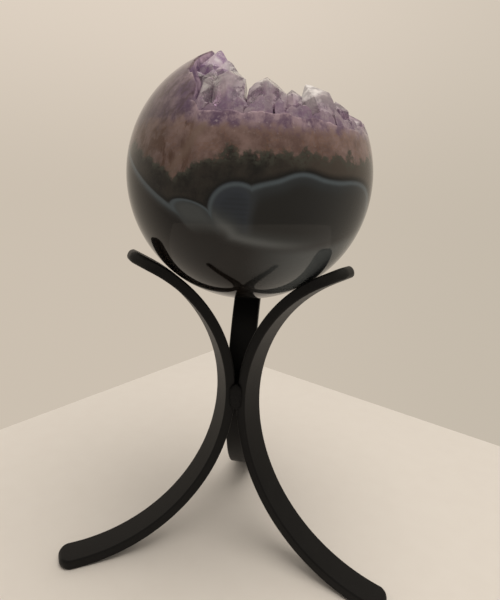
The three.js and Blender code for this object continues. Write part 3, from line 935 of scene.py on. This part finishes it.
def crystalMesh(point, rng, settings):  # in ball radii
    tip = Vector(point["tip"])
    root = Vector((*point["root"], druseFloor(*point["root"])))
    axis = (tip - root).normalized()
    radius, blunt = point["radius"], point["blunt"]
    length = (tip - root).length + point.get("depth", settings["rootDepth"])
    mesh = bmesh.new()
    bmesh.ops.create_cone(mesh, cap_ends=True, segments=6, radius1=radius,
                          radius2=radius * settings["taper"], depth=length + 2 * radius)
    bmesh.ops.translate(mesh, verts=mesh.verts, vec=(0, 0, radius - length / 2))
    lean = radians(settings["faceLean"])
    apex = blunt * radius * settings["apexRise"]
    for side in range(6):
        drop = rng.uniform(*settings["drop"]) + side % 2 * rng.uniform(*settings["oddDrop"])
        facing = leaned(lean, radians(60 * side))
        cutAway(mesh, Vector((0, 0, apex - drop * radius)), facing)
    topLean, topFacing = radians(rng.uniform(*settings["topLean"])), rng.uniform(0, 2 * pi)
    if blunt:
        cutAway(mesh, Vector(), leaned(topLean, topFacing))
    spin = radians(rng.uniform(-settings["spin"], settings["spin"]))
    upright = Vector((0, 0, 1)).rotation_difference(axis).to_matrix()
    bmesh.ops.rotate(mesh, verts=mesh.verts, matrix=upright @ Matrix.Rotation(spin, 3, "Z"))
    bmesh.ops.translate(mesh, verts=mesh.verts, vec=tip)
    polishOff(mesh, settings)
    before, after = settings["slivers"]
    bmesh.ops.dissolve_degenerate(mesh, dist=before, edges=mesh.edges)
    sharp = [edge for edge in mesh.edges if isSharp(edge, radians(settings["sharpAngle"]))]
    bmesh.ops.bevel(mesh, geom=sharp, offset=settings["edge"], affect="EDGES",
                    segments=settings["edgeSteps"], profile=0.5, material=-1, clamp_overlap=True)
    bmesh.ops.dissolve_degenerate(mesh, dist=after, edges=mesh.edges)
    stray = [face for face in mesh.faces if any(edge.is_boundary for edge in face.edges)]
    bmesh.ops.delete(mesh, geom=stray, context="FACES")
    bmesh.ops.recalc_face_normals(mesh, faces=mesh.faces)
    softenShading(mesh, radians(settings["smoothAngle"]))
    return mesh


def polishOff(mesh, settings):  # down to the ball's surface, in small flats
    reach = settings["polishedReach"]
    for _ in range(settings["polishTries"]):
        farthest = max(mesh.verts, key=lambda vert: vert.co.length)
        if farthest.co.length < reach * settings["polishError"]:
            break
        outward = farthest.co.normalized()
        cutAway(mesh, outward * reach, outward)


def amethystPoint(settings):
    material, tree, shader = newMaterial("amethystPoint")
    tints = settings["tints"]
    place = stonePlace(tree)
    x, _, z = axesOf(tree, place)
    patch = grain(tree, place, 4, 3, 0.6)
    veil = grain(tree, place, 9, 5, 0.65, 0.5)
    flaw = grain(tree, place, 46, 3, 0.65)
    milky = fade(tree, veil, 0.43, 0.6)
    # painted light: paler towards the tops as a painted highlight, darker low down as painted shade
    high = fade(tree, calc(tree, "MULTIPLY_ADD", patch, 0.5, z), 0.72, 1.0)
    clear = tint(tree, high, *tints["clear"])
    pale = tint(tree, high, *tints["pale"])
    colour = tint(tree, milky, clear, pale)
    horn = calc(tree, "MULTIPLY", fade(tree, x, -0.1, -0.25), fade(tree, z, 0.66, 0.76))
    colour = layOver(tree, horn, 0.9, colour, tint(tree, milky, *tints["horn"]))
    dark = spotShare(tree, place, stone["darkSpots"])
    colour = layOver(tree, dark, 0.75, colour, tints["darkSpot"])

    # white flecks and cracks, and patches of painted highlight
    veins = grain(tree, place, 9, 3, 0.6, 1.5)
    crack = bandLine(tree, calc(tree, "SUBTRACT", veins, 0.5), 0.014)
    white = calc(tree, "MULTIPLY", fade(tree, flaw, 0.58, 0.72), 0.6)
    white = calc(tree, "MAXIMUM", white, calc(tree, "MULTIPLY", crack, 0.35))
    # painted highlights: whitish patches placed at the listed spots
    bright = spotShare(tree, place, settings["highlightSpots"])
    bright = calc(tree, "MULTIPLY", bright, fade(tree, veil, 0.2, 0.42))
    white = calc(tree, "MAXIMUM", white, bright)
    colour = layOver(tree, white, 0.75, colour, tints["white"])

    # where the ball's polish cut the crystal
    reach = vectorCalc(tree, "LENGTH", place, output="Value")
    polished = fade(tree, reach, 0.965, 0.992)
    colour = layOver(tree, polished, 0.55, colour, violetColour(tree, place, x))
    wire(tree, shader.inputs["Base Color"], colour)
    wire(tree, shader.inputs["Roughness"], calc(tree, "MULTIPLY_ADD", flaw, 0.25, 0.02))
    shader.inputs["IOR"].default_value = stone["refraction"]
    cloudy = calc(tree, "MULTIPLY_ADD", white, 0.3, 0.15)
    cloudy = calc(tree, "MULTIPLY_ADD", milky, 0.35, cloudy)
    cloudy = calc(tree, "MAXIMUM", cloudy, calc(tree, "MULTIPLY", polished, 0.6))
    cloudy = calc(tree, "MAXIMUM", cloudy, calc(tree, "MULTIPLY", horn, 0.8))
    wire(tree, shader.inputs["Transmission Weight"], calc(tree, "SUBTRACT", 1, cloudy))
    height = calc(tree, "MULTIPLY_ADD", flaw, 0.5, veil)
    wire(tree, shader.inputs["Normal"], relief(tree, height, 0.35, 0.5 * mm))
    return material


pointStone = amethystPoint(points)
rng = random.Random(points["seed"])
for index, point in enumerate(points["made"], 1):
    node = f"amethyst_point_{index:02d}"
    mesh = crystalMesh(point, rng, points)
    placeStone(mesh)
    addPiece(f"amethystPoint{index:02d}", mesh, pointStone, "ball", "amethyst_point", node)
print("points grown")


# Small points that cover the druse between the large ones

smallPoints = {
    "count": 300,
    "turn": 137.5,
    "spread": 1.0,
    "rim": 0.995,
    "radius": 0.042,
    "growth": 0.035,
    "share": 0.618,
    "tall": 1.8,
    "depth": 0.05,
    "room": 0.9,
    "seed": 23,
    "rims": {
        "count": 60,
        "highest": 0.55,
        "floorAt": 0.9,
        "inset": 0.985,
        "inward": 0.94,
        "radius": 0.038,
        "growth": 0.03,
        "share": 0.618,
        "tall": 0.05,
        "rise": 0.06,
        "riseShare": 0.382,
        "depth": 0.05,
    },
    "fine": {
        "count": 900,
        "rim": 0.955,
        "across": (-0.62, 1),
        "radius": (0.012, 0.03),
        "taper": 0.92,
        "tall": (0.6, 1.6),
        "apexRise": 1.1,
        "apexShift": 0.3,
        "lean": 0.5,
    },
}


def floorFacing(x, y, step):
    return Vector((druseFloor(x - step, y) - druseFloor(x + step, y),
                   druseFloor(x, y - step) - druseFloor(x, y + step), 2 * step)).normalized()


def smallPoint(index, settings):
    turn = radians(settings["turn"]) * index
    reach = settings["spread"] * sqrt((index + 0.5) / settings["count"])
    x, y = stone["druse"]["middle"] + reach * cos(turn), reach * sin(turn)
    radius = settings["radius"] + settings["growth"] * (index * settings["share"] % 1)
    foot = Vector((x, y, druseFloor(x, y)))
    tip = foot + floorFacing(x, y, radius) * radius * settings["tall"]
    return {"root": (x, y), "foot": foot, "tip": tip, "radius": radius, "blunt": 0,
            "depth": settings["depth"]}


def hasRoom(small, settings):
    for point in points["made"]:
        start = Vector((*point["root"], druseFloor(*point["root"])))
        end = Vector(point["tip"])
        for place in (small["foot"], small["tip"]):
            share = min(1, max(0, geometry.intersect_point_line(place, start, end)[1]))
            if (start.lerp(end, share) - place).length < point["radius"] * settings["room"]:
                return False
    return small["foot"].length < settings["rim"]


def rimPoint(index, out, floor, settings):  # on the edge of the polish
    x, y = out * (sqrt(1 - floor ** 2) * settings["inset"])
    radius = settings["radius"] + settings["growth"] * (index * settings["share"] % 1)
    height = settings["tall"] + settings["rise"] * (index * settings["riseShare"] % 1)
    inward = settings["inward"]
    tip = Vector((x * inward, y * inward, druseFloor(x, y) + height))
    return {"root": (x, y), "tip": tip, "radius": radius, "blunt": 0, "depth": settings["depth"]}


def finePoint(mesh, rng, settings):
    x, y = rng.uniform(*settings["across"]), rng.uniform(-1, 1)
    radius = rng.uniform(*settings["radius"])
    height = radius * rng.uniform(*settings["tall"])
    lean = Vector((rng.uniform(-1, 1), rng.uniform(-1, 1), 0)) * settings["lean"]
    spin = rng.uniform(0, 60)
    shift = settings["apexShift"]
    offset = [rng.uniform(-shift, shift) * radius for _ in "xy"]
    foot = Vector((x, y, druseFloor(x, y)))
    if foot.length > settings["rim"]:
        return
    made = bmesh.ops.create_cone(mesh, cap_ends=True, segments=6, radius1=radius,
                                 radius2=radius * settings["taper"], depth=height)["verts"]
    top = {vert for vert in made if vert.co.z > 0}
    cap = next(face for vert in top for face in vert.link_faces if set(face.verts) == top)
    tip = bmesh.ops.poke(mesh, faces=[cap])["verts"]
    bmesh.ops.translate(mesh, verts=tip, vec=(*offset, radius * settings["apexRise"]))
    facing = floorFacing(x, y, radius) + lean
    upright = Vector((0, 0, 1)).rotation_difference(facing).to_matrix()
    turned = upright @ Matrix.Rotation(radians(spin), 3, "Z")
    bmesh.ops.rotate(mesh, verts=made + tip, matrix=turned)
    bmesh.ops.translate(mesh, verts=made + tip, vec=foot)


def smallPointsMesh(settings):
    rng = random.Random(settings["seed"])
    mesh = bmesh.new()
    for _ in range(settings["fine"]["count"]):
        finePoint(mesh, rng, settings["fine"])
    bmesh.ops.recalc_face_normals(mesh, faces=mesh.faces)
    data = bpy.data.meshes.new("onePoint")
    rims = []
    for index in range(settings["rims"]["count"]):
        turn = 2 * pi * index / settings["rims"]["count"]
        out = Vector((cos(turn), sin(turn)))
        floor = druseFloor(*(out * settings["rims"]["floorAt"]))
        if floor < settings["rims"]["highest"]:
            rims.append(rimPoint(index, out, floor, settings["rims"]))
    inner = [smallPoint(index, settings) for index in range(settings["count"])]
    for point in rims + [small for small in inner if hasRoom(small, settings)]:
        one = crystalMesh(point, rng, points)
        one.to_mesh(data)
        one.free()
        mesh.from_mesh(data)
    bpy.data.meshes.remove(data)
    placeStone(mesh)
    return mesh


addPiece("smallPoints", smallPointsMesh(smallPoints), pointStone, "ball", "amethyst_point")
print("druse filled")
